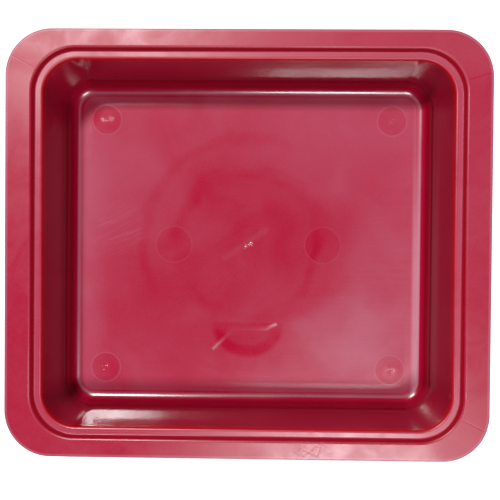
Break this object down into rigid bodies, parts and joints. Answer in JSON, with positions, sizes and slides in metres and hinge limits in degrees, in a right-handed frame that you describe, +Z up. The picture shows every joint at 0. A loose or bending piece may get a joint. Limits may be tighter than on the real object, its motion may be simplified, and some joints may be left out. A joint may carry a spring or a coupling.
{
  "type": "developing tray",
  "caption": "Shallow rectangular plastic tray for processing photographic paper, with coved floor edges, drafted walls, a recessed ledge round the mouth and a wide flat rim.",
  "frame": {"origin": "centre of the flat underside, level with the surface that the tray stands on", "axes": "+X along the tray's long side, +Y along its short side, +Z up out of the open mouth"},
  "size_m": [0.359, 0.317, 0.056],
  "materials": {
    "red_plastic": "glossy injection-moulded polypropylene, evenly coloured crimson, with a soft sheen and light handling marks"
  },
  "bodies": {
    "root": {"cove_back": "red_plastic", "cove_corner_back_left": "red_plastic", "cove_corner_back_right": "red_plastic", "cove_corner_front_left": "red_plastic", "cove_corner_front_right": "red_plastic", "cove_front": "red_plastic", "cove_left": "red_plastic", "cove_right": "red_plastic", "floor_pan": "red_plastic", "ledge_back": "red_plastic", "ledge_corner_back_left": "red_plastic", "ledge_corner_back_right": "red_plastic", "ledge_corner_front_left": "red_plastic", "ledge_corner_front_right": "red_plastic", "ledge_front": "red_plastic", "ledge_left": "red_plastic", "ledge_right": "red_plastic", "lip_back": "red_plastic", "lip_corner_back_left": "red_plastic", "lip_corner_back_right": "red_plastic", "lip_corner_front_left": "red_plastic", "lip_corner_front_right": "red_plastic", "lip_front": "red_plastic", "lip_left": "red_plastic", "lip_right": "red_plastic", "rim_back": "red_plastic", "rim_corner_back_left": "red_plastic", "rim_corner_back_right": "red_plastic", "rim_corner_front_left": "red_plastic", "rim_corner_front_right": "red_plastic", "rim_front": "red_plastic", "rim_left": "red_plastic", "rim_right": "red_plastic", "riser_back": "red_plastic", "riser_corner_back_left": "red_plastic", "riser_corner_back_right": "red_plastic", "riser_corner_front_left": "red_plastic", "riser_corner_front_right": "red_plastic", "riser_front": "red_plastic", "riser_left": "red_plastic", "riser_right": "red_plastic", "wall_back": "red_plastic", "wall_corner_back_left": "red_plastic", "wall_corner_back_right": "red_plastic", "wall_corner_front_left": "red_plastic", "wall_corner_front_right": "red_plastic", "wall_front": "red_plastic", "wall_left": "red_plastic", "wall_right": "red_plastic"}
  },
  "joints": []
}
